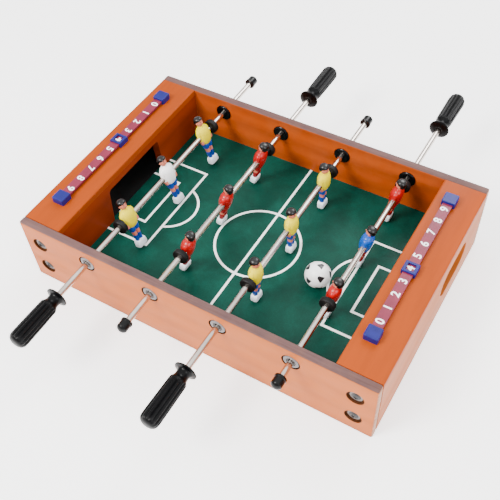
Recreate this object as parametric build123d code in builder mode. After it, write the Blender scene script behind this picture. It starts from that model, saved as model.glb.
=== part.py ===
from build123d import *
import os

# Table-top foosball game: a wooden box with a printed field, four rods that slide and turn,
# twelve men, two score counters and a ball.
# Frame: origin at the middle of the front panel's lower edge, on the surface that the box
# stands on. X runs along the field from the left goal to the right one, Y from the front
# panel to the back one, Z up. Millimetres. The pieces are drawn about the middle of the
# field and moved back into that frame when they are saved.

os.makedirs("parts", exist_ok=True)

# Box
table_length = 508.0
table_width = 340.0
table_height = 105.0
panel_thickness = 12.0
top_board_width = 57.0
top_board_thickness = 9.0
goal_wall_thickness = 12.0
edge_radius = 2.0
corner_radius = 3.0

# Field
field_z = 30.5
field_thickness = 5.0
groove_depth = 4.0

# Goals
mouth_width = 118.0
mouth_height = 55.0
mouth_corner = 5.0
mouth_flare = 2.0
tray_thickness = 1.2
tray_lip = 7.0
slot_length = 84.0
slot_height = 42.0
slot_z = 58.0
slot_offset = 61.0

# Corner joints
block_length = 30.0
block_depth = 20.0
corner_screw_inset = 26.0
corner_screw_heights = (28.0, 72.0)
screw_recess_radius = 11.0
screw_recess_depth = 3.5
washer_radius = 8.0
washer_thickness = 1.0
screw_head_radius = 6.0
screw_head_height = 2.2
screw_shank_radius = 2.0
screw_length = 24.0
cross_width = 1.6
cross_depth = 1.4

# Rods and what they carry
rod_z = 82.0
rod_pitch = 98.0
rod_radius = 4.0
rod_in_cap = 8.0
rod_in_handle = 30.0
player_pitch = 91.5
bumper_radius = 10.5
bumper_thickness = 8.0
bumper_front_face = 113.0
bumper_back_face = 117.0
running_clearance = 0.05
cap_inner_face = 222.0
cap_length = 16.0
cap_radius = 7.0
cap_collar_radius = 7.7
cap_collar_length = 3.0

# Bushings
bushing_sleeve_radius = 6.5
bushing_flange_radius = 12.0
bushing_flange_thickness = 3.0
nut_radius = 10.3
nut_recess_radius = 12.0
nut_recess_depth = 2.5
nut_thickness = 2.2

# Handles, as distances along the rod from the flange's table side
handle_flange_radius = 14.5
handle_neck_radius = 8.4
handle_grip_radius = 12.0
handle_neck_start = 6.0
handle_neck_end = 15.0
handle_grip_start = 20.0
handle_grip_end = 68.0
handle_length = 80.0
flute_count = 14
flute_radius = 1.7

# Men, measured from the rod's axis
head_z = 23.6
head_radius = 7.2
neck_radius = 3.6
shoulder_z = 16.0
chest_z = 3.0
waist_z = -12.0
torso_half_width = 10.6
torso_half_depth = 8.6
arm_radius = 2.9
arm_offset = 9.8
arm_top = 9.0
arm_bottom = -9.0
hip_z = -20.0
leg_half_width = 6.4
leg_half_depth = 4.2
ankle_z = -37.0
sole_z = -48.2
foot_half_width = 8.4
foot_half_depth = 5.2

# Score counters
bar_width = 13.0
bar_thickness = 3.0
bar_gap = 2.5
digit_pitch = 21.4
score_block_length = 17.5
score_block_width = 18.0
score_block_height = 9.0
score_block_inner_face = 106.0
bar_grip = 8.0
peg_radius = 2.5
peg_length = 6.0
slider_length = 17.0
slider_wall = 2.2
slider_side_clearance = 0.3
slider_lip = 2.6
window_length = 10.5
window_width = 10.0

ball_radius = 17.5
ball_place = (105.5, -22.0)
rest_gap = 0.3

# Each rod at rest: its shift along Y, its turn about Y in degrees, the side that its handle is
# on (-1 front, +1 back), and how far from the middle man its handle is pushed on.
rods = (
    {"shift": 10.4, "turn": -16.0, "side": -1, "handle": 236.2},
    {"shift": 7.0, "turn": 14.0, "side": 1, "handle": 233.0},
    {"shift": 9.5, "turn": 0.5, "side": -1, "handle": 243.5},
    {"shift": 30.5, "turn": 10.4, "side": 1, "handle": 237.5},
)

# Each counter: its name, the bar's middle in X and Y, and the way in Y that the numbers rise.
counters = (
    {"name": "left", "x": -228.0, "y": 2.5, "rise": -1},
    {"name": "right", "x": 217.5, "y": 7.0, "rise": 1},
)

half_length = table_length / 2
half_width = table_width / 2
inner_half_width = half_width - panel_thickness
field_half_length = half_length - top_board_width
wall_outer_x = field_half_length + goal_wall_thickness
under_top = table_height - top_board_thickness
end_half_width = inner_half_width - block_depth


def rod_x(number):
    return (number - 2.5) * rod_pitch


def save(piece, label):
    placed = piece.part.moved(Location((0, inner_half_width + panel_thickness / 2, 0)))
    placed.label = label
    export_step(placed, "parts/" + label + ".step")


def across(y):
    """A plane square to Y whose sketch axes are the row's X and Z."""
    return Plane(origin=(0, y, 0), x_dir=(1, 0, 0), z_dir=(0, -1, 0))


# Long panels. Each one is drawn lying against its outer face and has four rod holes with
# recesses for the bushing nuts, four screw holes with recesses, and a groove for the field.
for side, label in ((-1, "front_panel"), (1, "back_panel")):
    outer_y = side * half_width
    inner_y = side * inner_half_width
    middle_y = (outer_y + inner_y) / 2
    with BuildPart() as panel:
        with Locations((0, middle_y, table_height / 2)):
            Box(table_length, panel_thickness, table_height)
        fillet(panel.edges().filter_by(Axis.Z), corner_radius)
        fillet(panel.faces().sort_by(Axis.Z)[-1].edges(), edge_radius)
        with BuildSketch(across(outer_y)):
            for number in (1, 2, 3, 4):
                with Locations((rod_x(number), rod_z)):
                    Circle(bushing_sleeve_radius)
            for x in (-half_length + corner_screw_inset, half_length - corner_screw_inset):
                for z in corner_screw_heights:
                    with Locations((x, z)):
                        Circle(screw_shank_radius)
        extrude(amount=side * panel_thickness, mode=Mode.SUBTRACT)
        with BuildSketch(across(outer_y)):
            for number in (1, 2, 3, 4):
                with Locations((rod_x(number), rod_z)):
                    Circle(nut_recess_radius)
        extrude(amount=side * nut_recess_depth, mode=Mode.SUBTRACT)
        with BuildSketch(across(outer_y)):
            for x in (-half_length + corner_screw_inset, half_length - corner_screw_inset):
                for z in corner_screw_heights:
                    with Locations((x, z)):
                        Circle(screw_recess_radius)
        extrude(amount=side * screw_recess_depth, mode=Mode.SUBTRACT)
        with Locations((0, side * (inner_half_width + groove_depth / 2), field_z - field_thickness / 2)):
            Box(2 * wall_outer_x, groove_depth, field_thickness, mode=Mode.SUBTRACT)
    save(panel, label)

# Field board, with its long edges in the panels' grooves.
with BuildPart() as playfield:
    with Locations((0, 0, field_z - field_thickness / 2)):
        Box(2 * wall_outer_x, 2 * (inner_half_width + groove_depth), field_thickness)
save(playfield, "playfield")

# The two ends: outer panel with the oval slot, top board with peg holes for the counter,
# goal wall with the mouth, and the black tray that catches the ball.
for counter in counters:
    end = 1 if counter["name"] == "right" else -1
    slot_y = end * slot_offset
    outer_x = end * half_length
    with BuildPart() as end_panel:
        with Locations((end * (half_length - panel_thickness / 2), 0, under_top / 2)):
            Box(panel_thickness, 2 * inner_half_width, under_top)
        with BuildSketch(Plane(origin=(outer_x, 0, 0), x_dir=(0, 1, 0), z_dir=(1, 0, 0))):
            with Locations((slot_y, slot_z)):
                SlotOverall(slot_length, slot_height)
        extrude(amount=-end * panel_thickness, mode=Mode.SUBTRACT)
    save(end_panel, counter["name"] + "_end_panel")

    with BuildPart() as top_board:
        with Locations((end * (half_length - top_board_width / 2), 0, under_top + top_board_thickness / 2)):
            Box(top_board_width, 2 * inner_half_width, top_board_thickness)
        long_edges = top_board.faces().sort_by(Axis.Z)[-1].edges().filter_by(Axis.Y)
        fillet(long_edges, edge_radius)
        block_y = score_block_inner_face + score_block_length / 2
        with Locations((counter["x"], counter["y"], table_height)):
            with GridLocations(0, 2 * block_y, 1, 2):
                Hole(peg_radius, depth=peg_length)
    save(top_board, counter["name"] + "_top_board")

    wall_height = under_top - field_z
    with BuildPart() as goal_wall:
        with Locations((end * (field_half_length + goal_wall_thickness / 2), 0, field_z + wall_height / 2)):
            Box(goal_wall_thickness, 2 * inner_half_width, wall_height)
        mouth_plane = Plane(origin=(end * field_half_length, 0, field_z), x_dir=(0, 1, 0), z_dir=(1, 0, 0))
        with BuildSketch(mouth_plane):
            with BuildLine():
                foot = mouth_width / 2 + mouth_flare
                top = mouth_width / 2 - mouth_flare
                FilletPolyline(
                    (-foot, -1), (-top, mouth_height), (top, mouth_height), (foot, -1),
                    radius=mouth_corner,
                )
                Line((foot, -1), (-foot, -1))
            make_face()
        extrude(amount=end * goal_wall_thickness, mode=Mode.SUBTRACT)
    save(goal_wall, counter["name"] + "_goal_wall")

    # The tray's floor reaches through the mouth as a lip on the end of the field.
    tray_inner_x = wall_outer_x
    tray_outer_x = half_length - panel_thickness
    tray_depth = tray_outer_x - tray_inner_x
    tray_height = under_top - field_z - tray_thickness
    with BuildPart() as tray:
        with Locations((end * (tray_inner_x + tray_depth / 2), 0, field_z + tray_height / 2)):
            Box(tray_depth, 2 * end_half_width, tray_height)
        inside_z = field_z + tray_thickness + tray_height / 2
        with Locations((end * (tray_inner_x + tray_depth / 2 - tray_thickness), 0, inside_z)):
            Box(tray_depth, 2 * (end_half_width - tray_thickness), tray_height, mode=Mode.SUBTRACT)
        with Locations((end * (tray_inner_x - tray_lip / 2), 0, field_z + tray_thickness / 2)):
            Box(tray_lip, mouth_width, tray_thickness)
        with BuildSketch(Plane(origin=(end * tray_outer_x, 0, 0), x_dir=(0, 1, 0), z_dir=(1, 0, 0))):
            with Locations((slot_y, slot_z)):
                SlotOverall(slot_length, slot_height)
        extrude(amount=-end * tray_thickness, mode=Mode.SUBTRACT)
    save(tray, counter["name"] + "_goal_tray")

# Blocks in the four corners that the screws bite into.
with BuildPart() as corner_blocks:
    block_x = half_length - panel_thickness - block_length / 2
    block_middle_y = inner_half_width - block_depth / 2
    with Locations((0, 0, under_top / 2)):
        with GridLocations(2 * block_x, 2 * block_middle_y, 2, 2):
            Box(block_length, block_depth, under_top)
    for side in (-1, 1):
        with BuildSketch(across(side * inner_half_width)):
            for x in (-half_length + corner_screw_inset, half_length - corner_screw_inset):
                for z in corner_screw_heights:
                    with Locations((x, z)):
                        Circle(screw_shank_radius)
        extrude(amount=side * (screw_length - panel_thickness + screw_recess_depth), mode=Mode.SUBTRACT)
save(corner_blocks, "corner_blocks")

# Corner screws and washers, eight of each.
seat_y = half_width - screw_recess_depth
screw_spots = []
for side in (-1, 1):
    for x in (-half_length + corner_screw_inset, half_length - corner_screw_inset):
        for z in corner_screw_heights:
            screw_spots.append((side, x, z))

with BuildPart() as corner_washers:
    for side, x, z in screw_spots:
        with BuildSketch(across(side * seat_y)):
            with Locations((x, z)):
                Circle(washer_radius)
                Circle(screw_shank_radius, mode=Mode.SUBTRACT)
        extrude(amount=-side * washer_thickness)
save(corner_washers, "corner_washers")

with BuildPart() as screw:
    with BuildSketch(Plane.XZ):
        with BuildLine():
            Line((0, 0), (screw_head_radius, 0))
            TangentArc((0, screw_head_height), (screw_head_radius, 0), tangent=(1, 0))
            Line((0, screw_head_height), (0, 0))
        make_face()
    revolve(axis=Axis.Z)
    with Locations((0, 0, -(screw_length + washer_thickness) / 2)):
        Cylinder(screw_shank_radius, screw_length + washer_thickness)
    with Locations((0, 0, screw_head_height - cross_depth / 2)):
        Box(screw_head_radius, cross_width, cross_depth, mode=Mode.SUBTRACT)
        Box(cross_width, screw_head_radius, cross_depth, mode=Mode.SUBTRACT)

with BuildPart() as corner_screws:
    for side, x, z in screw_spots:
        face = Plane(
            origin=(x, side * (seat_y + washer_thickness), z),
            x_dir=(1, 0, 0),
            z_dir=(0, side, 0),
        )
        with Locations(face.location):
            add(screw.part)
save(corner_screws, "corner_screws")

# Outer rings that hold the bushings from outside.
with BuildPart() as bushing_nuts:
    for side in (-1, 1):
        with BuildSketch(across(side * (half_width - nut_recess_depth))):
            for number in (1, 2, 3, 4):
                with Locations((rod_x(number), rod_z)):
                    Circle(nut_radius)
                    Circle(bushing_sleeve_radius, mode=Mode.SUBTRACT)
        extrude(amount=-side * nut_thickness)
    rims = bushing_nuts.edges().filter_by(GeomType.CIRCLE)
    wide_rims = [rim for rim in rims if rim.radius > bushing_sleeve_radius + 1]
    fillet([rim for rim in wide_rims if abs(rim.center().Y) > seat_y + 2], 0.8)
save(bushing_nuts, "bushing_nuts")

# One bushing, one bumper, one end cap, one handle and one man, each drawn about the Z axis or
# standing at the origin, and placed on the rods below.
with BuildPart() as bushing:
    sleeve_length = panel_thickness - 0.5
    with BuildSketch(Plane.XZ):
        with BuildLine():
            Polyline(
                (rod_radius + running_clearance, -sleeve_length),
                (bushing_sleeve_radius, -sleeve_length),
                (bushing_sleeve_radius, 0),
                (bushing_flange_radius, 0),
                (bushing_flange_radius, 1.2),
            )
            ThreePointArc(
                (bushing_flange_radius, 1.2),
                (bushing_flange_radius - 1.6, 2.5),
                (bushing_flange_radius - 4.0, bushing_flange_thickness),
            )
            Polyline(
                (bushing_flange_radius - 4.0, bushing_flange_thickness),
                (rod_radius + running_clearance, bushing_flange_thickness),
                (rod_radius + running_clearance, -sleeve_length),
            )
        make_face()
    revolve(axis=Axis.Z)

with BuildPart() as bumper:
    with BuildSketch():
        Circle(bumper_radius)
        Circle(rod_radius + running_clearance, mode=Mode.SUBTRACT)
    extrude(amount=bumper_thickness / 2, both=True)
    rims = bumper.edges().filter_by(GeomType.CIRCLE)
    fillet([rim for rim in rims if rim.radius > bumper_radius - 0.1], 2.0)

with BuildPart() as end_cap:
    with BuildSketch(Plane.XZ):
        with BuildLine():
            Polyline(
                (rod_radius, 0),
                (cap_collar_radius - 0.6, 0),
                (cap_collar_radius, 0.6),
                (cap_collar_radius, cap_collar_length),
                (cap_radius, cap_collar_length + 0.8),
                (cap_radius, cap_length - 4.0),
            )
            TangentArc((0, cap_length), (cap_radius, cap_length - 4.0), tangent=(1, 0))
            Polyline((0, cap_length), (0, rod_in_cap), (rod_radius, rod_in_cap), (rod_radius, 0))
        make_face()
    revolve(axis=Axis.Z)


# A grip drawn along +Z from its flange, with a blind bore for the rod.
with BuildPart() as handle:
    with BuildSketch(Plane.XZ):
        with BuildLine():
            Polyline(
                (rod_radius, 0),
                (rod_radius + 3.0, 0),
                (handle_flange_radius - 1.5, 1.6),
                (handle_flange_radius, 3.0),
                (handle_flange_radius - 0.6, 4.2),
                (handle_neck_radius + 1.6, handle_neck_start - 0.8),
            )
            Spline(
                (handle_neck_radius + 1.6, handle_neck_start - 0.8),
                (handle_neck_radius, handle_neck_start + 3.0),
                (handle_neck_radius + 0.7, handle_neck_end),
                (handle_grip_radius - 0.8, handle_grip_start - 1.6),
                (handle_grip_radius, handle_grip_start + 1.5),
                tangents=((-1, 1), (0, 1)),
            )
            Line((handle_grip_radius, handle_grip_start + 1.5), (handle_grip_radius, handle_grip_end))
            TangentArc((0, handle_length), (handle_grip_radius, handle_grip_end), tangent=(1, 0))
            Polyline((0, handle_length), (0, rod_in_handle), (rod_radius, rod_in_handle), (rod_radius, 0))
        make_face()
    revolve(axis=Axis.Z)
    flute_length = handle_grip_end - handle_grip_start
    with Locations((0, 0, handle_grip_start + flute_length / 2 + 1.0)):
        with PolarLocations(handle_grip_radius + 0.35, flute_count):
            Cylinder(flute_radius, flute_length, mode=Mode.SUBTRACT)


# A man stands along Z, faces +X and is as wide as Y, with the rod's axis at the origin.
with BuildPart() as player:
    with BuildSketch(Plane.XY.offset(waist_z)):
        Ellipse(torso_half_depth - 2.2, torso_half_width - 2.2)
    with BuildSketch(Plane.XY.offset(chest_z)):
        Ellipse(torso_half_depth, torso_half_width)
    with BuildSketch(Plane.XY.offset(shoulder_z)):
        Ellipse(torso_half_depth - 3.0, torso_half_width - 3.5)
    loft()
    with Locations((0, 0, (shoulder_z + head_z) / 2)):
        Cylinder(neck_radius, head_z - shoulder_z)
    with Locations((0, 0, head_z)):
        Sphere(head_radius)
    for arm_side in (-1, 1):
        with BuildSketch(Plane.XY.offset(arm_bottom)):
            with Locations((0, arm_side * arm_offset)):
                Circle(arm_radius)
        extrude(amount=arm_top - arm_bottom)
        with Locations((0, arm_side * arm_offset, arm_top)):
            Sphere(arm_radius)
    with BuildSketch(Plane.XY.offset(ankle_z)):
        RectangleRounded(2 * leg_half_depth - 1.4, 2 * leg_half_width - 1.6, 2.4)
    with BuildSketch(Plane.XY.offset(hip_z)):
        RectangleRounded(2 * leg_half_depth + 1.6, 2 * leg_half_width + 2.4, 3.4)
    with BuildSketch(Plane.XY.offset(waist_z + 0.5)):
        RectangleRounded(2 * leg_half_depth + 2.0, 2 * leg_half_width + 3.6, 3.8)
    loft()
    with Locations((0, 0, (ankle_z + sole_z) / 2)):
        Box(2 * foot_half_depth, 2 * foot_half_width, ankle_z - sole_z)
    toe_edges = player.edges().filter_by(Axis.Z).group_by(Axis.Z)[0]
    fillet(toe_edges, 2.0)
    with BuildSketch(Plane.XZ):
        Circle(rod_radius)
    extrude(amount=2 * torso_half_width, both=True, mode=Mode.SUBTRACT)

for number, rest in enumerate(rods, start=1):
    name = "rod_" + str(number)
    x = rod_x(number)
    middle_y = rest["shift"]
    side = rest["side"]

    # The rod itself runs from inside the end cap to inside the handle.
    with BuildPart() as rod:
        with BuildSketch(across(middle_y - side * (cap_inner_face + rod_in_cap))):
            with Locations((x, rod_z)):
                Circle(rod_radius)
        extrude(amount=-side * (cap_inner_face + rod_in_cap + rest["handle"] + rod_in_handle))
        chamfer(rod.edges().filter_by(GeomType.CIRCLE), 0.5)
    save(rod, name)

    for panel_side, where in ((-1, "_bushing_front"), (1, "_bushing_back")):
        inward = Plane(
            origin=(x, panel_side * inner_half_width, rod_z),
            x_dir=(1, 0, 0),
            z_dir=(0, -panel_side, 0),
        )
        with BuildPart() as placed_bushing:
            with Locations(inward.location):
                add(bushing.part)
        save(placed_bushing, name + where)

    with BuildPart() as bumpers:
        for bumper_side, outer_face in ((-1, bumper_front_face), (1, bumper_back_face)):
            bumper_y = bumper_side * (outer_face - bumper_thickness / 2)
            spot = Plane(
                origin=(x, middle_y + bumper_y, rod_z),
                x_dir=(1, 0, 0),
                z_dir=(0, 1, 0),
            )
            with Locations(spot.location):
                add(bumper.part)
    save(bumpers, name + "_bumpers")

    cap_plane = Plane(
        origin=(x, middle_y - side * cap_inner_face, rod_z),
        x_dir=(1, 0, 0),
        z_dir=(0, -side, 0),
    )
    with BuildPart() as placed_cap:
        with Locations(cap_plane.location):
            add(end_cap.part)
    save(placed_cap, name + "_end_cap")

    handle_plane = Plane(
        origin=(x, middle_y + side * rest["handle"], rod_z),
        x_dir=(1, 0, 0),
        z_dir=(0, side, 0),
    )
    with BuildPart() as placed_handle:
        with Locations(handle_plane.location):
            add(handle.part)
    save(placed_handle, name + "_handle")

    # Odd rods attack towards +X and even rods towards -X.
    facing = 0.0 if number % 2 == 1 else 180.0
    for place in (1, 2, 3):
        player_y = middle_y + (place - 2) * player_pitch
        tilt = Location((x, player_y, rod_z), (0, rest["turn"], 0))
        turn_round = Location((0, 0, 0), (0, 0, facing))
        with BuildPart() as placed_player:
            with Locations(tilt * turn_round):
                add(player.part)
        save(placed_player, name + "_player_" + str(place))

# Score counters: a numbered bar held clear of the board by two end blocks with pegs, and a
# window slider that wraps round the bar. The sliders stand on the 4.
bar_z = table_height + bar_gap
bar_top = bar_z + bar_thickness
for counter in counters:
    label = counter["name"]
    with BuildPart() as score_bar:
        with Locations((counter["x"], counter["y"], bar_z + bar_thickness / 2)):
            Box(bar_width, 2 * (score_block_inner_face + bar_grip), bar_thickness)
    save(score_bar, label + "_score_bar")

    with BuildPart() as score_blocks:
        with Locations((counter["x"], counter["y"], table_height + score_block_height / 2)):
            with GridLocations(0, 2 * block_y, 1, 2):
                Box(score_block_width, score_block_length, score_block_height)
        fillet(score_blocks.edges().filter_by(Axis.Z), 1.5)
        fillet(score_blocks.faces().sort_by(Axis.Z)[-2:].edges(), 1.0)
        with Locations((counter["x"], counter["y"], bar_z + bar_thickness / 2)):
            Box(bar_width, 2 * (score_block_inner_face + bar_grip), bar_thickness, mode=Mode.SUBTRACT)
        with Locations((counter["x"], counter["y"], table_height - peg_length / 2)):
            with GridLocations(0, 2 * block_y, 1, 2):
                Cylinder(peg_radius, peg_length)
    save(score_blocks, label + "_score_blocks")

    four_y = counter["y"] - counter["rise"] * digit_pitch / 2
    slider_top = bar_top + slider_side_clearance + slider_wall
    slider_half = bar_width / 2 + slider_side_clearance + slider_wall
    slider_foot = table_height + rest_gap
    lip_top = bar_z - slider_side_clearance
    with BuildPart() as slider:
        with Locations((counter["x"], four_y, (slider_top + slider_foot) / 2)):
            Box(2 * slider_half, slider_length, slider_top - slider_foot)
        fillet(slider.faces().sort_by(Axis.Z)[-1].edges(), 0.8)
        hollow_half = slider_half - slider_wall
        hollow_top = bar_top + slider_side_clearance
        with Locations((counter["x"], four_y, (hollow_top + lip_top) / 2)):
            Box(2 * hollow_half, slider_length, hollow_top - lip_top, mode=Mode.SUBTRACT)
        with Locations((counter["x"], four_y, (lip_top + slider_foot) / 2)):
            Box(2 * (hollow_half - slider_lip), slider_length, lip_top - slider_foot, mode=Mode.SUBTRACT)
        with Locations((counter["x"], four_y, slider_top)):
            Box(window_width, window_length, 4 * slider_wall, mode=Mode.SUBTRACT)
    save(slider, label + "_score_slider")

# Ball, resting on the field between the third and fourth rods.
with BuildPart() as ball:
    with Locations((ball_place[0], ball_place[1], field_z + ball_radius + rest_gap)):
        Sphere(ball_radius)
save(ball, "ball")
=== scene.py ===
import math

import bpy
from mathutils import Matrix, Vector


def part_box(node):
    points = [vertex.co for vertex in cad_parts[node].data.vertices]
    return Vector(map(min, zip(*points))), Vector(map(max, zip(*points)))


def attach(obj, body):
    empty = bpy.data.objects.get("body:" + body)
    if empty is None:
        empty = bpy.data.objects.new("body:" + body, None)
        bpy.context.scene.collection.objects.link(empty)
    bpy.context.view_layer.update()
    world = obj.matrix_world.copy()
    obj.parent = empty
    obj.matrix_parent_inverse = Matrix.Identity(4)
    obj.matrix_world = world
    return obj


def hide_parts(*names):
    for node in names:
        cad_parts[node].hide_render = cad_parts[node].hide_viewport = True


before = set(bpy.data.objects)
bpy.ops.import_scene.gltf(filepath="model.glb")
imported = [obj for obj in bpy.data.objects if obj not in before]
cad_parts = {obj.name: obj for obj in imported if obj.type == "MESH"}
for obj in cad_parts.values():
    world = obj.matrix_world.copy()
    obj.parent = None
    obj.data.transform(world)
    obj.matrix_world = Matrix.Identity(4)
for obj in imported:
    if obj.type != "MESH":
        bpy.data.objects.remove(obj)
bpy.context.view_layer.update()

# Lengths are in millimetres, and MM turns them into metres.
MM = 0.001
MIDDLE_Y = 164.0
ROD_Z = 82.0
# Each rod at rest: its place along the field, its shift to the back, its turn in degrees, the side
# that its grip is on (-1 front, 1 back), the grip's distance from the middle man, and the way that
# its men face in degrees.
RODS = (
    {"x": -147.0, "shift": 10.4, "turn": -16.0, "side": -1, "handle": 236.2, "faces": 0.0},
    {"x": -49.0, "shift": 7.0, "turn": 14.0, "side": 1, "handle": 233.0, "faces": 180.0},
    {"x": 49.0, "shift": 9.5, "turn": 0.5, "side": -1, "handle": 243.5, "faces": 0.0},
    {"x": 147.0, "shift": 30.5, "turn": 10.4, "side": 1, "handle": 237.5, "faces": 180.0},
)
PLAYER_PITCH = 91.5
# Round recesses in the long panels
ROD_RECESS_RADIUS = 12.0
SCREW_RECESS_RADIUS = 11.0
SCREW_X = 228.0
SCREW_HEIGHTS = (28.0, 72.0)
# Pitch lines
LINE_HALF = 1.7
LINE_BLUR = 0.2
# Ball and the way that it lies
BALL_RADIUS = 17.5
BALL_TURN = (0.60612, 0.06972, -0.34662)
# Score bars: name, place along and across the field, and the way that the digits rise
SCORE_BARS = (("left", -228.0, 2.5, -1), ("right", 217.5, 7.0, 1))
DIGIT_PITCH = 21.4
DIGIT_SIZE = 14.5
DIGIT_COUNT = 10
# Grip
GRIP_RIBS = 14
GRIP_POINTS_PER_RIB = 16
# Floor and camera, in metres and radians
FLOOR_HALF = 6.0
CAMERA_PLACE = (0.36159, -0.38888, 0.82212)
CAMERA_TURN = (0.68406, 0.04640, 0.53691)


# ---------------------------------------------------------------- shader building
class Shade:
    """One material being built: makes nodes, and does arithmetic on their sockets."""

    def __init__(self, name):
        self.material = bpy.data.materials.new(name)
        self.material.use_nodes = True
        self.tree = self.material.node_tree
        self.tree.nodes.clear()
        self.out = self.node("ShaderNodeOutputMaterial")
        self.bsdf = self.node("ShaderNodeBsdfPrincipled")
        self.link(self.bsdf.outputs[0], self.out.inputs[0])
        coords = self.node("ShaderNodeTexCoord")
        self.place = coords.outputs["Object"]
        self.facing = coords.outputs["Normal"]

    def node(self, kind):
        return self.tree.nodes.new(kind)

    def link(self, a, b):
        self.tree.links.new(a, b)

    def put(self, value, socket):
        if isinstance(value, bpy.types.NodeSocket):
            self.link(value, socket)
        else:
            socket.default_value = value

    def math(self, op, a, b=0.0, c=0.0, clamp=False):
        n = self.node("ShaderNodeMath")
        n.operation = op
        n.use_clamp = clamp
        self.put(a, n.inputs[0])
        self.put(b, n.inputs[1])
        self.put(c, n.inputs[2])
        return n.outputs[0]

    def add(self, a, b):
        return self.math("ADD", a, b)

    def sub(self, a, b):
        return self.math("SUBTRACT", a, b)

    def mul(self, a, b):
        return self.math("MULTIPLY", a, b)

    def most(self, *values):
        total = values[0]
        for value in values[1:]:
            total = self.math("MAXIMUM", total, value)
        return total

    def step(self, value, low, high):
        """0 below low, 1 above high, smooth between; low above high turns it round."""
        n = self.node("ShaderNodeMapRange")
        n.interpolation_type = "SMOOTHSTEP"
        flip = low > high
        self.put(value, n.inputs["Value"])
        n.inputs["From Min"].default_value = min(low, high)
        n.inputs["From Max"].default_value = max(low, high)
        n.inputs["To Min"].default_value = 1.0 if flip else 0.0
        n.inputs["To Max"].default_value = 0.0 if flip else 1.0
        return n.outputs["Result"]

    def range(self, value, low, high, to_low, to_high):
        n = self.node("ShaderNodeMapRange")
        self.put(value, n.inputs["Value"])
        n.inputs["From Min"].default_value = low
        n.inputs["From Max"].default_value = high
        n.inputs["To Min"].default_value = to_low
        n.inputs["To Max"].default_value = to_high
        return n.outputs["Result"]

    def split(self, vector):
        n = self.node("ShaderNodeSeparateXYZ")
        self.put(vector, n.inputs[0])
        return n.outputs[0], n.outputs[1], n.outputs[2]

    def scaled(self, scale, source=None):
        n = self.node("ShaderNodeMapping")
        self.put(self.place if source is None else source, n.inputs["Vector"])
        n.inputs["Scale"].default_value = scale
        return n.outputs[0]

    def noise(self, scale, stretch=(1, 1, 1), detail=4.0, rough=0.55, warp=0.0):
        n = self.node("ShaderNodeTexNoise")
        self.put(self.scaled(stretch), n.inputs["Vector"])
        n.inputs["Scale"].default_value = scale
        n.inputs["Detail"].default_value = detail
        n.inputs["Roughness"].default_value = rough
        n.inputs["Distortion"].default_value = warp
        return n.outputs["Fac"]

    def cells(self, scale, stretch=(1, 1, 1)):
        n = self.node("ShaderNodeTexVoronoi")
        self.put(self.scaled(stretch), n.inputs["Vector"])
        n.inputs["Scale"].default_value = scale
        return n.outputs["Distance"]

    def rings(self, scale, stretch, warp=3.0):
        n = self.node("ShaderNodeTexWave")
        n.wave_type = "BANDS"
        n.bands_direction = "Z"
        self.put(self.scaled(stretch), n.inputs["Vector"])
        n.inputs["Scale"].default_value = scale
        n.inputs["Distortion"].default_value = warp
        n.inputs["Detail"].default_value = 3.0
        n.inputs["Detail Scale"].default_value = 1.4
        return n.outputs["Fac"]

    def ramp(self, value, stops):
        n = self.node("ShaderNodeValToRGB")
        self.put(value, n.inputs[0])
        items = n.color_ramp.elements
        while len(items) < len(stops):
            items.new(0.5)
        for item, (at, colour) in zip(items, stops):
            item.position = at
            item.color = (*colour, 1.0)
        return n.outputs[0]

    def mix(self, share, a, b, blend="MIX"):
        n = self.node("ShaderNodeMix")
        n.data_type = "RGBA"
        n.blend_type = blend
        self.put(share, n.inputs[0])
        for value, socket in ((a, n.inputs[6]), (b, n.inputs[7])):
            if isinstance(value, tuple):
                value = (*value[:3], 1.0)
            self.put(value, socket)
        return n.outputs[2]

    def bump(self, height, depth_mm, strength=1.0, under=None):
        n = self.node("ShaderNodeBump")
        n.inputs["Strength"].default_value = strength
        n.inputs["Distance"].default_value = depth_mm * MM
        self.put(height, n.inputs["Height"])
        if under is not None:
            self.link(under, n.inputs["Normal"])
        return n.outputs[0]

    def soft_edge(self, radius_mm):
        n = self.node("ShaderNodeBevel")
        n.samples = 4
        n.inputs["Radius"].default_value = radius_mm * MM
        return n.outputs[0]

    def end(self, colour, rough, normal=None, metal=0.0, coat=0.0, coat_rough=0.1, specular=0.5):
        if isinstance(colour, tuple):
            colour = (*colour[:3], 1.0)
        self.put(colour, self.bsdf.inputs["Base Color"])
        self.put(rough, self.bsdf.inputs["Roughness"])
        self.put(metal, self.bsdf.inputs["Metallic"])
        self.bsdf.inputs["Coat Weight"].default_value = coat
        self.bsdf.inputs["Coat Roughness"].default_value = coat_rough
        self.bsdf.inputs["Specular IOR Level"].default_value = specular
        if normal is not None:
            self.link(normal, self.bsdf.inputs["Normal"])
        return self.material


def srgb(r, g, b):
    """A colour picked in 0 to 255 display values, as linear light."""
    out = []
    for v in (r, g, b):
        v = v / 255.0
        out.append(v / 12.92 if v <= 0.04045 else ((v + 0.055) / 1.055) ** 2.4)
    return tuple(out)


def tone(colour, factor):
    return tuple(c * factor for c in colour)


# ---------------------------------------------------------------- materials
def grain(s, stretch, colours, fine=1.0):
    """Wood colour along a stretched direction: broad figure, fine fibres and small pores."""
    dark, middle, light = colours
    figure = s.rings(9.0, stretch, 5.0)
    broad = s.noise(14.0, stretch, 5.0, 0.6, 0.6)
    fibre = s.noise(160.0 * fine, stretch, 3.0, 0.7)
    mixed = s.add(s.mul(figure, 0.35), s.add(s.mul(broad, 0.4), s.mul(fibre, 0.35)))
    colour = s.ramp(mixed, ((0.2, dark), (0.5, middle), (0.85, light)))
    return colour, fibre, broad


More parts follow.
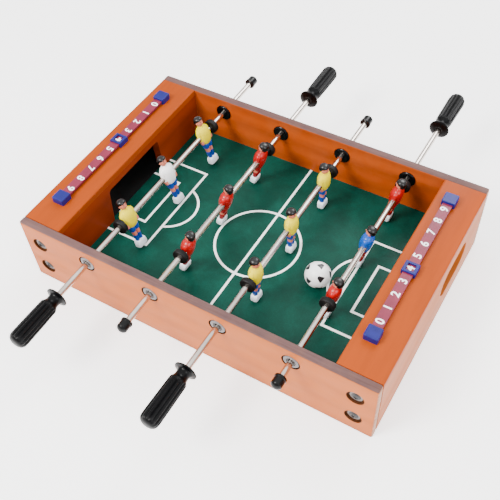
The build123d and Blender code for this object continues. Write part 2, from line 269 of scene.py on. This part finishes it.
def recess_share(s, x, z, centre_x, centre_z, radius):
    """1 inside a round recess in a long panel and on its wall, 0 outside."""
    dx = s.sub(x, centre_x * MM)
    dz = s.sub(z, centre_z * MM)
    away = s.math("SQRT", s.add(s.mul(dx, dx), s.mul(dz, dz)))
    return s.step(away, (radius + 0.25) * MM, (radius + 0.05) * MM)


def panel_wood(side):
    """Long panel: pale laminate outside, warm orange stain inside, streaky sawn top edge."""
    s = Shade("panel_wood_front" if side < 0 else "panel_wood_back")
    x, y, z = s.split(s.place)
    nx, ny, nz = s.split(s.facing)
    pale = srgb(168, 84, 28)
    outside, fibre = grain(s, (0.10, 1.0, 1.0), (tone(pale, 0.86), pale, tone(pale, 1.08)), 0.8)[:2]
    inner = srgb(156, 62, 6)
    inside = grain(s, (0.12, 1.0, 1.0), (tone(inner, 0.72), inner, tone(inner, 1.25)))[0]
    sawn = (srgb(58, 38, 37), srgb(90, 68, 68), srgb(122, 98, 97))
    top = grain(s, (0.07, 1.6, 1.0), sawn, 1.6)[0]
    inner_share = s.step(s.mul(ny, float(-side)), 0.5, 0.8)
    top_share = s.step(nz, 0.35, 0.75)
    colour = s.mix(inner_share, outside, inside)
    colour = s.mix(top_share, colour, top)
    end_share = s.step(s.math("ABSOLUTE", nx), 0.5, 0.8)
    end_grain = s.ramp(s.noise(240.0, (1, 0.35, 1)), ((0.3, srgb(120, 82, 62)), (0.7, srgb(176, 128, 100))))
    colour = s.mix(end_share, colour, end_grain)
    dust = s.noise(30.0, (1, 1, 1), 6.0, 0.7)
    colour = s.mix(s.range(dust, 0.35, 0.75, 0.0, 0.10), colour, srgb(190, 128, 86))
    # Darker towards the bottom: a band along the lowest 5 mm of the panel.
    bottom_band = s.step(z, 0.005, 0.0)
    colour = s.mix(s.mul(bottom_band, 0.35), colour, srgb(110, 80, 62))
    recess = [recess_share(s, x, z, rod["x"], ROD_Z, ROD_RECESS_RADIUS) for rod in RODS]
    for screw_x in (-SCREW_X, SCREW_X):
        for screw_z in SCREW_HEIGHTS:
            recess.append(recess_share(s, x, z, screw_x, screw_z, SCREW_RECESS_RADIUS))
    # Recess walls and floors: dark raw fibreboard brown, made darker still as painted shade for the shadow
    # inside the recesses.
    raw_board_and_shade = s.ramp(s.noise(300.0), ((0.3, srgb(44, 22, 12)), (0.7, srgb(84, 48, 26))))
    colour = s.mix(s.mul(s.most(*recess), s.sub(1.0, inner_share)), colour, raw_board_and_shade)
    rough = s.range(s.noise(55.0, (0.3, 1, 1)), 0.3, 0.7, 0.34, 0.52)
    normal = s.bump(s.add(fibre, s.mul(dust, 0.3)), 0.05, 0.6, s.soft_edge(0.5))
    return s.end(colour, rough, normal, specular=0.1)


def board_wood(name, colour, stretch, rough=(0.32, 0.5), spread=(0.8, 1.2)):
    """One stained or raw board, with grain along the direction that is stretched least."""
    s = Shade(name)
    shades = (tone(colour, spread[0]), colour, tone(colour, spread[1]))
    shade, fibre, broad = grain(s, stretch, shades)
    pores = s.step(s.cells(420.0, (stretch[0], stretch[1], 1)), 0.12, 0.02)
    shade = s.mix(s.mul(pores, 0.25), shade, tone(colour, 0.45))
    finish = s.range(broad, 0.3, 0.7, rough[0], rough[1])
    normal = s.bump(s.sub(fibre, s.mul(pores, 0.4)), 0.05, 0.5, s.soft_edge(0.5))
    return s.end(shade, finish, normal, specular=0.1)


def line_share(s, off):
    """1 where off is less than half a pitch line's width, 0 beyond it."""
    return s.step(off, (LINE_HALF + LINE_BLUR) * MM, (LINE_HALF - LINE_BLUR) * MM)


def ring_line(s, x, y, centre_x, centre_y, radius):
    """A pitch line round a centre given from the middle of the field."""
    dx = s.sub(x, centre_x * MM)
    dy = s.sub(y, (centre_y + MIDDLE_Y) * MM)
    away = s.math("SQRT", s.add(s.mul(dx, dx), s.mul(dy, dy)))
    return line_share(s, s.math("ABSOLUTE", s.sub(away, radius * MM)))


def straight_line(s, value, at):
    return line_share(s, s.math("ABSOLUTE", s.sub(value, at * MM)))


def field_green():
    """Printed green sheet with the pitch lines, laid out in millimetres from the middle."""
    s = Shade("field_green")
    x, y = s.split(s.place)[:2]
    nz = s.split(s.facing)[2]
    lines = [straight_line(s, x, 1.5), ring_line(s, x, y, 2.5, -1.0, 59.0)]
    # At each end: the penalty box, the goal area inside it, and the arc on the box
    for end, box_x, box_y, area_x, area_y, arc_x, arc_radius in (
        (-1, -131.0, 77.0, -157.5, 43.0, -144.3, 41.0),
        (1, 139.5, 77.0, 163.5, 41.0, 165.0, 50.0),
    ):
        outward = s.mul(x, float(end))
        for edge_x, edge_y in ((box_x, box_y), (area_x, area_y)):
            start = abs(edge_x) - LINE_HALF
            inward = s.step(outward, start * MM, (start + LINE_BLUR) * MM)
            dy = s.math("ABSOLUTE", s.sub(y, MIDDLE_Y * MM))
            stop = edge_y + LINE_HALF
            between = s.step(dy, stop * MM, (stop - LINE_BLUR) * MM)
            lines.append(s.mul(straight_line(s, x, edge_x), between))
            lines.append(s.mul(straight_line(s, dy, edge_y), inward))
        outside_box = s.step(outward, abs(box_x) * MM, (abs(box_x) - LINE_BLUR) * MM)
        lines.append(s.mul(ring_line(s, x, y, arc_x, 0.0, arc_radius), outside_box))
    print_share = s.most(*lines)
    worn = s.range(s.noise(900.0, (1, 1, 1), 3.0, 0.7), 0.35, 0.75, 1.0, 0.8)
    print_share = s.mul(print_share, worn)
    mottle = s.noise(22.0, (1, 1, 1), 6.0, 0.65, 0.4)
    speck = s.noise(700.0, (1, 1, 1), 2.0, 0.8)
    both = s.add(s.mul(mottle, 0.7), s.mul(speck, 0.35))
    green = s.ramp(both, ((0.3, srgb(0, 40, 32)), (0.52, srgb(0, 55, 44)), (0.75, srgb(1, 72, 60))))
    colour = s.mix(print_share, green, srgb(250, 252, 250))
    board = s.ramp(s.noise(90.0, (0.2, 1, 1)), ((0.3, srgb(112, 84, 58)), (0.7, srgb(158, 124, 90))))
    colour = s.mix(s.step(nz, 0.6, 0.4), colour, board)
    rough = s.range(s.noise(60.0, (1, 1, 1)), 0.3, 0.7, 0.34, 0.5)
    normal = s.bump(s.add(speck, s.mul(print_share, 0.8)), 0.02, 0.5)
    return s.end(colour, rough, normal, specular=0.12)


def plastic(
    name,
    colour,
    rough=(0.22, 0.36),
    coat=0.0,
    bump_mm=0.02,
    edge=0.3,
    spread=0.12,
    worn=None,
    specular=0.5,
):
    """Moulded plastic: slight colour drift, faint flow texture, and patches of a second colour when one is
    given: rubbed wear on most parts, painted highlight on the grip.
    """
    s = Shade(name)
    drift = s.noise(60.0, (1, 1, 1), 4.0, 0.6)
    fine = s.noise(1100.0, (1, 1, 1), 3.0, 0.7)
    share = s.range(drift, 0.3, 0.7, 0.0, 1.0)
    shade = s.mix(share, tone(colour, 1.0 - spread), tone(colour, 1.0 + spread))
    if worn is not None:
        # Patches of the second colour: rubbed wear, and on the grip a painted highlight.
        scuffs_and_sheen = s.step(s.noise(260.0, (1, 1, 0.3), 5.0, 0.75), 0.60, 0.74)
        shade = s.mix(s.mul(scuffs_and_sheen, 0.35), shade, worn)
    mixed = s.add(s.mul(drift, 0.5), s.mul(fine, 0.5))
    finish = s.range(mixed, 0.35, 0.65, rough[0], rough[1])
    base = s.soft_edge(edge) if edge else None
    normal = s.bump(fine, bump_mm, 0.5, base)
    return s.end(shade, finish, normal, coat=coat, coat_rough=0.15, specular=specular)


def paint(name, colour, rough=(0.22, 0.34), specular=0.35, **more):
    """Glossy paint on a man, whose edges are already round."""
    return plastic(name, colour, rough, edge=0.0, specular=specular, **more)


def chrome_steel():
    s = Shade("chrome_steel")
    along = s.noise(900.0, (1, 0.03, 1), 3.0, 0.6)
    smear = s.noise(35.0, (1, 0.6, 1), 4.0, 0.6)
    shade = s.ramp(smear, ((0.3, srgb(184, 173, 164)), (0.7, srgb(220, 211, 203))))
    rough = s.range(s.add(s.mul(along, 0.6), s.mul(smear, 0.4)), 0.35, 0.65, 0.12, 0.26)
    return s.end(shade, rough, s.bump(along, 0.01, 0.5), metal=1.0)


def screw_steel():
    s = Shade("screw_steel")
    turned = s.noise(700.0, (1, 1, 1), 4.0, 0.7)
    stain = s.step(s.noise(200.0, (1, 1, 1), 4.0, 0.7), 0.55, 0.75)
    shade = s.mix(s.mul(stain, 0.5), srgb(122, 114, 110), srgb(72, 60, 54))
    rough = s.range(turned, 0.3, 0.7, 0.28, 0.5)
    return s.end(shade, rough, s.bump(turned, 0.02, 0.5, s.soft_edge(0.2)), metal=0.9)


def ball_white():
    """White ball with twelve black five-sided patches, found from the shape's own axes."""
    s = Shade("ball_white")
    golden = (1 + math.sqrt(5)) / 2
    patch_size = 1.032
    unit = s.node("ShaderNodeVectorMath")
    unit.operation = "NORMALIZE"
    s.link(s.place, unit.inputs[0])

    def nearness(axis):
        length = math.sqrt(sum(a * a for a in axis))
        n = s.node("ShaderNodeVectorMath")
        n.operation = "DOT_PRODUCT"
        s.link(unit.outputs[0], n.inputs[0])
        n.inputs[1].default_value = tuple(a / length for a in axis)
        return s.math("ABSOLUTE", n.outputs["Value"])

    corners = []
    for a in (-1, 1):
        corners += [(0, a, golden), (golden, 0, a), (a, golden, 0)]
    faces = [(1, 1, 1), (1, 1, -1), (1, -1, 1), (-1, 1, 1)]
    for a in (-1, 1):
        faces += [(0, a / golden, golden), (golden, 0, a / golden), (a / golden, golden, 0)]
    five = s.most(*[nearness(c) for c in corners])
    six = s.most(*[nearness(f) for f in faces])
    inward = s.sub(five, s.mul(six, patch_size))
    patch = s.step(inward, -0.006, 0.004)
    seam_gap = s.math("ABSOLUTE", inward)
    drift = s.noise(120.0, (1, 1, 1), 4.0, 0.6)
    white = s.ramp(drift, ((0.3, srgb(244, 243, 242)), (0.7, srgb(252, 252, 251))))
    black = s.ramp(drift, ((0.3, srgb(14, 14, 16)), (0.7, srgb(34, 34, 38))))
    colour = s.mix(patch, white, black)
    height = s.step(seam_gap, 0.0, 0.02)
    fine = s.noise(1500.0, (1, 1, 1), 2.0, 0.6)
    normal = s.bump(s.add(height, s.mul(fine, 0.15)), 0.12, 0.6)
    return s.end(colour, s.range(drift, 0.3, 0.7, 0.28, 0.42), normal, coat=0.15, coat_rough=0.2)


MAT = {
    "front": panel_wood(-1),
    "back": panel_wood(1),
    "end": board_wood("end_wood", srgb(164, 85, 27), (0.9, 0.10, 1.0), spread=(0.86, 1.1)),
    "top": board_wood("top_wood", srgb(149, 61, 7), (1.0, 0.12, 1.0), spread=(0.78, 1.15)),
    "wall": board_wood("wall_wood", srgb(128, 44, 6), (0.9, 0.12, 1.0), spread=(0.7, 1.2)),
    "block": board_wood("block_wood", srgb(120, 92, 60), (1.0, 1.0, 0.12), rough=(0.6, 0.8)),
    "field": field_green(),
    "sheet": plastic("black_sheet", srgb(4, 4, 4), (0.6, 0.8), bump_mm=0.04, specular=0.2),
    "screw": plastic("screw_black", srgb(16, 14, 14), (0.25, 0.4), worn=srgb(70, 64, 62)),
    "washer": screw_steel(),
    "nut": plastic("grey_plastic", srgb(86, 80, 83), (0.28, 0.42), coat=0.1),
    "black": plastic("black_plastic", srgb(4, 4, 5), (0.18, 0.3), worn=srgb(24, 23, 23), specular=0.2),
    # The grip's lighter grey patches are a painted highlight, meant for the rib crests, laid in random
    # patches.
    "handle": plastic(
        "handle_black", srgb(2, 2, 3), (0.24, 0.34), edge=0.5, worn=srgb(44, 44, 46), specular=0.12
    ),
    "rubber": plastic(
        "black_rubber", srgb(8, 8, 8), (0.45, 0.65), bump_mm=0.05, worn=srgb(34, 31, 30), specular=0.25
    ),
    "chrome": chrome_steel(),
    "pink": plastic("score_pink", srgb(112, 28, 52), (0.28, 0.42), spread=0.2, specular=0.3),
    "blue": plastic("score_blue", srgb(18, 20, 96), (0.26, 0.4), spread=0.25, specular=0.25),
    "ball": ball_white(),
    "digits": paint("digit_white", srgb(252, 246, 248), (0.35, 0.5), coat=0.05, specular=0.5),
    "hair": paint("hair_black", srgb(6, 4, 4), (0.22, 0.36), specular=0.4),
    "skin": paint("skin_paint", srgb(206, 118, 94), (0.3, 0.42)),
    "eyes": paint("eye_paint", srgb(16, 12, 11), (0.3, 0.4), specular=0.5),
    "yellow": paint("yellow_shirt", srgb(228, 208, 0), spread=0.06, specular=0.1),
    "white": paint("white_shirt", srgb(250, 249, 248), coat=0.1, spread=0.05, specular=0.5),
    "red": paint("red_shirt", srgb(164, 0, 4)),
    "sky": paint("blue_shirt", srgb(4, 74, 168)),
    "navy": paint("blue_shorts", srgb(4, 62, 148), (0.24, 0.36)),
    "maroon": paint("red_shorts", srgb(136, 0, 8), (0.24, 0.36)),
    "foot": paint(
        "foot_grey", srgb(226, 234, 240), (0.28, 0.42), coat=0.1, worn=srgb(160, 166, 172), specular=0.5
    ),
}

# What a node wears goes by the first of these words that its name holds. The rods hold none.
FINISHES = (
    ("front_panel", "front"),
    ("back_panel", "back"),
    ("end_panel", "end"),
    ("top_board", "top"),
    ("goal_wall", "wall"),
    ("corner_blocks", "block"),
    ("playfield", "field"),
    ("goal_tray", "sheet"),
    ("corner_screws", "screw"),
    ("corner_washers", "washer"),
    ("bushing_nuts", "nut"),
    ("bushing", "black"),
    ("end_cap", "black"),
    ("bumpers", "rubber"),
    ("handle", "handle"),
    ("score_bar", "pink"),
    ("score", "blue"),
    ("ball", "ball"),
    ("player", "foot"),
)

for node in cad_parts:
    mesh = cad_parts[node].data
    mesh.materials.clear()
    mesh.materials.append(MAT[next((key for word, key in FINISHES if word in node), "chrome")])


# ---------------------------------------------------------------- mesh building
class Shell:
    """Vertices and faces gathered for one piece, each face with the material that it wears."""

    def __init__(self):
        self.points = []
        self.faces = []
        self.wears = []

    def rings(self, rings, key, cap=True):
        """Joins rings of equal length into a tube, with flat caps."""
        count = len(rings[0])
        base = len(self.points)
        for ring in rings:
            self.points += ring
        for r in range(len(rings) - 1):
            for i in range(count):
                j = (i + 1) % count
                a = base + r * count
                b = a + count
                self.faces.append((a + i, a + j, b + j, b + i))
                self.wears.append(key)
        if cap:
            for r, turn in ((0, -1), (len(rings) - 1, 1)):
                start = base + r * count
                self.faces.append(tuple(start + i for i in range(count))[::turn])
                self.wears.append(key)

    def loft(self, sections, key, count=28):
        """Sections are (z, centre x, centre y, half x, half y, squareness)."""
        rings = []
        for z, cx, cy, hx, hy, square in sections:
            ring = []
            for i in range(count):
                t = 2 * math.pi * i / count
                c, s = math.cos(t), math.sin(t)
                px = cx + hx * math.copysign(abs(c) ** (2 / square), c)
                py = cy + hy * math.copysign(abs(s) ** (2 / square), s)
                ring.append(Vector((px, py, z)))
            rings.append(ring)
        self.rings(rings, key)

    def orb(self, centre, half, key, count=20, levels=10):
        """A ball or an egg, with small holes at its poles closed by flat caps."""
        rings = []
        for k in range(levels + 1):
            a = -math.pi / 2 + math.pi * k / levels
            a = max(-1.55, min(1.55, a))
            ring = []
            for i in range(count):
                t = 2 * math.pi * i / count
                ring.append(
                    Vector(
                        (
                            centre[0] + half[0] * math.cos(a) * math.cos(t),
                            centre[1] + half[1] * math.cos(a) * math.sin(t),
                            centre[2] + half[2] * math.sin(a),
                        )
                    )
                )
            rings.append(ring)
        self.rings(rings, key)

    def piece(self, name, move, smooth=40.0):
        keys = []
        for key in self.wears:
            if key not in keys:
                keys.append(key)
        mesh = bpy.data.meshes.new(name)
        points = [move @ (p * MM) for p in self.points]
        mesh.from_pydata([tuple(p) for p in points], [], self.faces)
        for key in keys:
            mesh.materials.append(MAT[key])
        for polygon, key in zip(mesh.polygons, self.wears):
            polygon.material_index = keys.index(key)
        mesh.polygons.foreach_set("use_smooth", [True] * len(mesh.polygons))
        mesh.set_sharp_from_angle(angle=math.radians(smooth))
        mesh.validate()
        mesh.update()
        piece = bpy.data.objects.new(name, mesh)
        bpy.context.scene.collection.objects.link(piece)
        return piece


def man(shirt, shorts, socks):
    """A moulded man, facing +X, with the rod's axis through the origin along Y."""
    body = Shell()
    # head, nose, ears, eyes, brows
    body.loft(
        [
            (17.0, 0.9, 0, 1.8, 1.8, 2.2),
            (17.6, 1.1, 0, 3.3, 3.1, 2.2),
            (19.2, 1.0, 0, 4.8, 4.3, 2.2),
            (21.8, 0.7, 0, 5.6, 5.2, 2.2),
            (24.6, 0.5, 0, 5.8, 5.5, 2.1),
            (27.2, 0.1, 0, 5.3, 5.1, 2.0),
            (29.2, 0.0, 0, 3.8, 3.8, 2.0),
            (30.0, 0.0, 0, 1.6, 1.6, 2.0),
        ],
        "skin",
    )
    body.orb((6.5, 0, 22.0), (1.0, 0.8, 1.2), "skin", 12, 6)
    for side in (-1, 1):
        body.orb((0.3, side * 5.4, 22.6), (1.2, 0.8, 1.7), "skin", 12, 6)
        body.orb((5.8, side * 2.1, 24.0), (0.45, 0.7, 0.6), "eyes", 10, 6)
        body.orb((5.6, side * 2.1, 25.4), (0.4, 1.1, 0.32), "hair", 10, 6)
    # hair: a low cap with a fringe, reaching down the back of the head
    body.loft(
        [
            (20.6, -2.7, 0, 3.4, 4.4, 2.2),
            (22.0, -2.3, 0, 4.2, 5.2, 2.3),
            (24.0, -1.8, 0, 4.9, 5.9, 2.3),
            (25.8, -0.6, 0, 6.1, 6.2, 2.3),
            (26.8, 0.0, 0, 6.5, 6.2, 2.3),
            (28.4, 0.1, 0, 6.1, 5.8, 2.2),
            (29.8, 0.0, 0, 4.9, 4.7, 2.1),
            (30.6, 0.0, 0, 3.1, 3.1, 2.0),
            (30.8, 0.0, 0, 1.2, 1.2, 2.0),
        ],
        "hair",
    )
    # neck and collar
    body.loft([(14.5, 0.2, 0, 3.4, 3.5, 2), (16.4, 0.3, 0, 3.0, 3.1, 2), (18.8, 0.4, 0, 2.9, 3.0, 2)], "skin")
    body.loft(
        [(14.6, 0, 0, 5.2, 5.6, 2), (15.9, 0.1, 0, 4.4, 4.6, 2), (16.7, 0.1, 0, 3.7, 3.8, 2)],
        shirt,
    )
    # shirt: full chest and belly, gathered hem
    body.loft(
        [
            (-12.6, 0, 0, 5.4, 6.8, 2.5),
            (-12.0, 0, 0, 6.3, 7.8, 2.5),
            (-9.0, 0.2, 0, 7.4, 9.0, 2.4),
            (-5.0, 0.5, 0, 8.2, 9.9, 2.3),
            (0.0, 0.6, 0, 8.5, 10.4, 2.3),
            (4.5, 0.6, 0, 8.5, 10.6, 2.3),
            (8.5, 0.5, 0, 8.0, 10.6, 2.3),
            (11.6, 0.3, 0, 7.0, 9.8, 2.3),
            (13.8, 0.1, 0, 5.8, 8.0, 2.2),
            (15.4, 0, 0, 4.2, 5.6, 2.1),
            (16.1, 0, 0, 3.0, 4.0, 2.0),
        ],
        shirt,
        40,
    )
    for side in (-1, 1):
        # sleeve, cuff and hand, held down beside the body
        body.loft(
            [
                (-4.2, 1.6, side * 10.4, 2.3, 1.9, 2.2),
                (-3.6, 1.5, side * 10.5, 3.0, 2.3, 2.2),
                (0.0, 0.9, side * 10.2, 3.4, 2.5, 2.2),
                (4.5, 0.5, side * 9.9, 3.7, 2.8, 2.2),
                (8.8, 0.3, side * 9.4, 3.9, 3.2, 2.1),
                (11.6, 0.2, side * 8.3, 3.6, 3.2, 2.0),
                (13.6, 0.1, side * 6.6, 2.4, 2.4, 2.0),
            ],
            shirt,
            24,
        )
        body.loft(
            [
                (-10.2, 2.5, side * 10.0, 1.3, 1.1, 2.3),
                (-9.6, 2.5, side * 10.1, 2.5, 1.9, 2.3),
                (-7.4, 2.3, side * 10.3, 3.1, 2.3, 2.3),
                (-5.0, 2.0, side * 10.4, 2.8, 2.2, 2.2),
                (-3.2, 1.7, side * 10.4, 2.4, 1.9, 2.0),
            ],
            "skin",
            22,
        )
        # shorts leg, thigh, sock, each leg on its own
        body.loft(
            [
                (-20.6, 0, side * 3.7, 4.1, 3.0, 2.6),
                (-20.0, 0, side * 3.7, 4.9, 3.7, 2.6),
                (-16.5, 0, side * 3.8, 5.3, 4.0, 2.6),
                (-12.6, 0, side * 3.9, 6.0, 4.5, 2.6),
                (-11.0, 0, side * 3.8, 5.4, 4.2, 2.6),
            ],
            shorts,
            28,
        )
        body.loft(
            [
                (-28.6, 0.3, side * 3.2, 3.3, 2.7, 2.2),
                (-26.0, 0.5, side * 3.2, 3.7, 2.9, 2.2),
                (-23.0, 0.2, side * 3.3, 3.9, 3.0, 2.2),
                (-19.6, 0, side * 3.5, 4.2, 3.1, 2.3),
            ],
            "skin",
            24,
        )
        body.loft(
            [
                (-39.0, 0.2, side * 3.0, 3.0, 2.6, 2.2),
                (-36.0, 0.0, side * 3.0, 3.3, 2.7, 2.2),
                (-32.0, -0.5, side * 3.1, 3.9, 3.0, 2.2),
                (-28.6, -0.1, side * 3.2, 3.8, 3.0, 2.2),
                (-27.4, 0.1, side * 3.2, 4.0, 3.2, 2.2),
                (-26.9, 0.1, side * 3.2, 3.6, 2.8, 2.2),
            ],
            socks,
            24,
        )
    # foot block that strikes the ball
    body.loft(
        [
            (-48.2, 0, 0, 4.2, 7.3, 5.0),
            (-47.8, 0, 0, 4.8, 8.0, 5.0),
            (-46.6, 0, 0, 5.2, 8.4, 5.5),
            (-40.6, 0, 0, 5.0, 8.0, 5.5),
            (-38.2, 0, 0, 4.6, 7.4, 5.0),
            (-37.4, 0, 0, 3.8, 6.4, 4.5),
        ],
        "foot",
        40,
    )
    return body


def team(rod, place):
    """Shirt, shorts and socks of one man; the middle men of the end rods are the goalkeepers."""
    if rod == 1:
        return ("white" if place == 2 else "yellow", "navy", "navy")
    if rod == 3:
        return ("yellow", "navy", "navy")
    if rod == 4 and place == 2:
        return ("sky", "maroon", "maroon")
    return ("red", "maroon", "maroon")


for number, rest in enumerate(RODS, start=1):
    for place in (1, 2, 3):
        shape = man(*team(number, place))
        spot = Vector((rest["x"], MIDDLE_Y + rest["shift"] + (place - 2) * PLAYER_PITCH, ROD_Z)) * MM
        move = (
            Matrix.Translation(spot)
            @ Matrix.Rotation(math.radians(rest["turn"]), 4, "Y")
            @ Matrix.Rotation(math.radians(rest["faces"]), 4, "Z")
        )
        piece = shape.piece("man_%d_%d" % (number, place), move)
        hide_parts("rod_%d_player_%d" % (number, place))
        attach(piece, "rod_%d_set" % number)


def grip():
    """A grip ribbed along its length, with a dished flange and a plain neck."""
    shell = Shell()
    count = GRIP_RIBS * GRIP_POINTS_PER_RIB
    # (distance from the flange's table side, radius, rib depth)
    profile = [
        (0.6, 4.1, 0), (0.2, 5.0, 0), (0.0, 6.6, 0), (0.5, 8.6, 0), (1.2, 11.0, 0), (1.9, 13.0, 0),
        (2.6, 14.2, 0), (3.2, 14.5, 0), (3.8, 14.3, 0), (4.2, 13.6, 0), (4.5, 12.4, 0), (4.9, 10.8, 0),
        (5.6, 9.5, 0), (7.0, 8.7, 0), (9.0, 8.4, 0), (12.0, 8.4, 0), (14.0, 8.7, 0), (16.0, 9.7, 0),
        (17.6, 10.7, 0), (18.6, 11.2, 0.2), (19.6, 11.3, 0.8), (20.8, 11.4, 1.4), (22.4, 11.45, 1.7),
        (32.0, 11.6, 1.7), (44.0, 11.8, 1.7), (56.0, 11.95, 1.7), (66.0, 12.0, 1.7), (70.0, 12.0, 1.7),
        (72.4, 11.9, 1.5), (74.4, 11.5, 1.0), (76.0, 10.8, 0.5), (77.4, 9.7, 0.15), (78.6, 8.0, 0),
        (79.5, 5.6, 0), (79.9, 2.8, 0), (80.0, 0.3, 0),
    ]
    rings = []
    for z, radius, depth in profile:
        ring = []
        for i in range(count):
            t = 2 * math.pi * i / count
            wave = abs(math.sin(GRIP_RIBS * t / 2)) ** 1.2
            r = radius - depth * (1 - wave)
            ring.append(Vector((r * math.cos(t), r * math.sin(t), z)))
        rings.append(ring)
    shell.rings(rings, "handle", cap=False)
    return shell


for number, rest in enumerate(RODS, start=1):
    reach = MIDDLE_Y + rest["shift"] + rest["side"] * rest["handle"]
    turn = Matrix.Rotation(math.radians(-90.0 * rest["side"]), 4, "X")
    move = Matrix.Translation(Vector((rest["x"], reach, ROD_Z)) * MM) @ turn
    piece = grip().piece("grip_%d" % number, move, 50.0)
    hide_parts("rod_%d_handle" % number)
    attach(piece, "rod_%d_set" % number)

# Ball
low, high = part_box("ball")
round_ball = Shell()
round_ball.orb((0, 0, 0), (BALL_RADIUS, BALL_RADIUS, BALL_RADIUS), "ball", 96, 48)
ball = round_ball.piece("ball_skin", Matrix.Identity(4), 80.0)
ball.location = (low + high) / 2
ball.rotation_euler = BALL_TURN
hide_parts("ball")
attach(ball, "loose_ball")

# Digits on the score bars, 0 to 9, readable from the end that they belong to.
for name, bar_x, bar_y, rise in SCORE_BARS:
    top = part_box(name + "_score_bar")[1].z
    numbers = bpy.data.meshes.new(name + "_digits")
    points, faces = [], []
    for value in range(DIGIT_COUNT):
        curve = bpy.data.curves.new("digit", "FONT")
        curve.body = str(value)
        curve.size = DIGIT_SIZE * MM
        curve.align_x = "CENTER"
        curve.align_y = "CENTER"
        curve.extrude = 0.05 * MM
        curve.offset = 0.3 * MM
        maker = bpy.data.objects.new("digit", curve)
        bpy.context.scene.collection.objects.link(maker)
        bpy.context.view_layer.update()
        graph = bpy.context.evaluated_depsgraph_get()
        drawn = bpy.data.meshes.new_from_object(maker.evaluated_get(graph))
        along = (value - (DIGIT_COUNT - 1) / 2) * DIGIT_PITCH
        spot = Vector((bar_x, MIDDLE_Y + bar_y + rise * along, 0)) * MM
        spot.z = top + 0.04 * MM
        move = Matrix.Translation(spot) @ Matrix.Rotation(math.radians(90.0 * rise), 4, "Z")
        base = len(points)
        points += [tuple(move @ v.co) for v in drawn.vertices]
        faces += [tuple(base + i for i in p.vertices) for p in drawn.polygons]
        bpy.data.objects.remove(maker)
        bpy.data.curves.remove(curve)
        bpy.data.meshes.remove(drawn)
    numbers.from_pydata(points, [], faces)
    numbers.materials.append(MAT["digits"])
    digits = bpy.data.objects.new(name + "_digits", numbers)
    bpy.context.scene.collection.objects.link(digits)
    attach(digits, "table")

# ---------------------------------------------------------------- floor, light, camera
floor_mesh = bpy.data.meshes.new("floor")
floor_corners = [(x, y, 0) for x, y in ((-1, -1), (1, -1), (1, 1), (-1, 1))]
floor_mesh.from_pydata([(x * FLOOR_HALF, y * FLOOR_HALF, z) for x, y, z in floor_corners], [], [(0, 1, 2, 3)])
floor = bpy.data.objects.new("floor", floor_mesh)
bpy.context.scene.collection.objects.link(floor)
pale = Shade("floor_pale")
floor_tone = pale.ramp(pale.noise(3.0), ((0.3, (0.9, 0.9, 0.9)), (0.7, (0.94, 0.94, 0.94))))
pale.bsdf.inputs["Emission Color"].default_value = (1.0, 1.0, 1.0, 1.0)
pale.bsdf.inputs["Emission Strength"].default_value = 1.3
floor_mesh.materials.append(pale.end(floor_tone, 0.8))
floor.location.z = -0.0002

world = bpy.data.worlds.new("studio")
bpy.context.scene.world = world
world.use_nodes = True
backdrop = world.node_tree.nodes["Background"]
# The light falls off in a band above the horizon, so that polished steel shows a dark stripe.
around = world.node_tree.nodes.new("ShaderNodeTexCoord")
height = world.node_tree.nodes.new("ShaderNodeSeparateXYZ")
bands = world.node_tree.nodes.new("ShaderNodeValToRGB")
world.node_tree.links.new(around.outputs["Generated"], height.inputs[0])
world.node_tree.links.new(height.outputs[2], bands.inputs[0])
world.node_tree.links.new(bands.outputs[0], backdrop.inputs["Color"])
stops = bands.color_ramp.elements
stops[0].position = 0.12
stops[0].color = (0.95, 0.95, 0.95, 1.0)
stops[1].position = 0.7
stops[1].color = (1.0, 1.0, 1.0, 1.0)
lower = stops.new(0.3)
lower.color = (0.30, 0.30, 0.30, 1.0)
upper = stops.new(0.44)
upper.color = (0.30, 0.30, 0.31, 1.0)
backdrop.inputs["Strength"].default_value = 2.3


def softbox(name, place, aim, size, power, colour=(1, 1, 1)):
    lamp = bpy.data.lights.new(name, "AREA")
    lamp.shape = "DISK"
    lamp.size = size
    lamp.energy = power
    lamp.color = colour
    holder = bpy.data.objects.new(name, lamp)
    holder.location = place
    holder.rotation_euler = (Vector(aim) - Vector(place)).to_track_quat("-Z", "Y").to_euler()
    bpy.context.scene.collection.objects.link(holder)


softbox("key", (-0.9, -1.3, 1.9), (0, 0.16, 0.05), 1.0, 100.0, (1.0, 0.98, 0.95))
softbox("fill", (1.6, -0.6, 1.3), (0, 0.16, 0.05), 1.2, 28.0, (0.97, 0.98, 1.0))
softbox("rim", (0.2, 1.8, 1.6), (0, 0.16, 0.05), 1.0, 30.0)

lens = bpy.data.cameras.new("camera")
lens.lens = 54.25
lens.sensor_width = 36.0
camera = bpy.data.objects.new("camera", lens)
camera.location = CAMERA_PLACE
camera.rotation_euler = CAMERA_TURN
bpy.context.scene.collection.objects.link(camera)
bpy.context.scene.camera = camera
